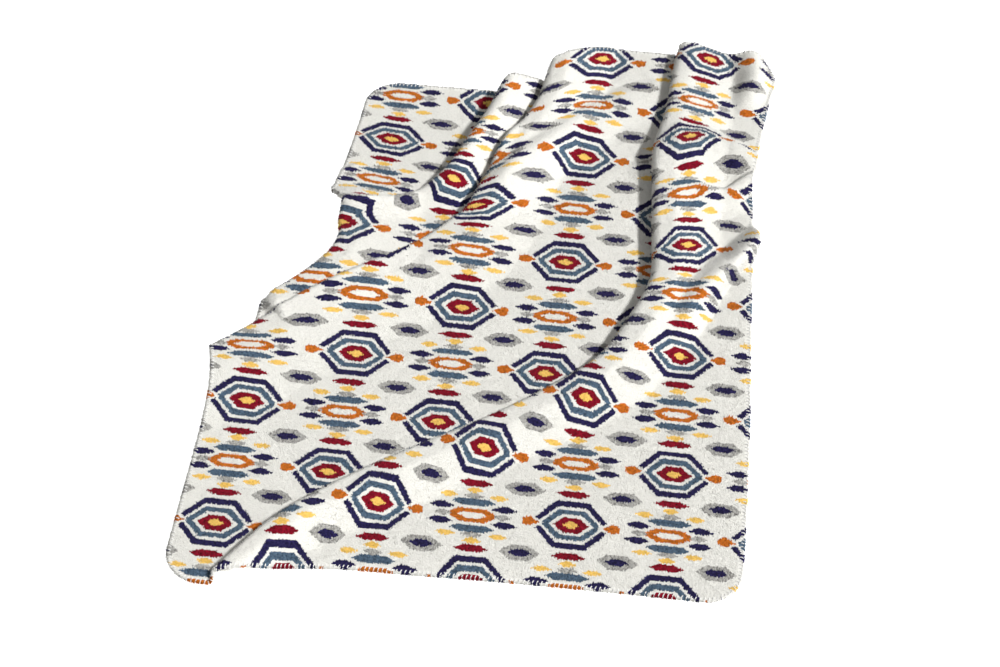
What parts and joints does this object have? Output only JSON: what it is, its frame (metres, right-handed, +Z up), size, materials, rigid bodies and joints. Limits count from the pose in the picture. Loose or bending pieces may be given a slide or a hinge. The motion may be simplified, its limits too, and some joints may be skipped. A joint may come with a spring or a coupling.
{
  "type": "knitted throw blanket",
  "caption": "Thick fleecy knitted throw laid loosely on a flat surface, with rounded corners, a stitched hem and long soft folds.",
  "frame": {"origin": "middle of the laid throw's bounding box, on the surface it lies on", "axes": "+Z up from the surface, +Y along the throw's long side, towards its gathered end; +X to the right as seen from its flat end"},
  "size_m": [1.3242, 1.6696, 0.0708],
  "materials": {
    "fleece": "thick short-piled knit, matt, ivory ground"
  },
  "bodies": {
    "root": {"throw": "fleece"}
  },
  "joints": []
}
